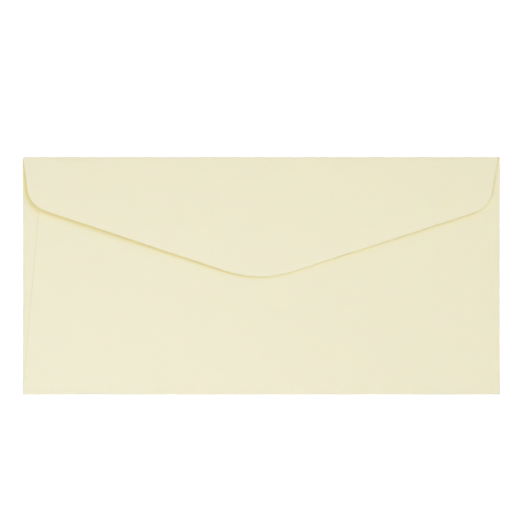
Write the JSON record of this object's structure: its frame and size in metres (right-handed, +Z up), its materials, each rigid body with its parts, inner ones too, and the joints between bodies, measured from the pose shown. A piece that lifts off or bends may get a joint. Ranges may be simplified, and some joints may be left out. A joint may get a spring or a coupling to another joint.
{
  "type": "envelope",
  "caption": "Cream paper wallet envelope: one folded sheet with glued side seams and a rounded V-shaped seal flap, closed but not stuck down.",
  "frame": {"origin": "middle of the footprint, at the level that the envelope rests on", "axes": "+X along the wide side, +Y towards the top fold, +Z up out of the side with the seal flap"},
  "size_m": [0.22, 0.1093, 0.0022],
  "materials": {
    "paper": "matt, uncoated"
  },
  "bodies": {
    "root": {"envelope": "paper"}
  },
  "joints": []
}
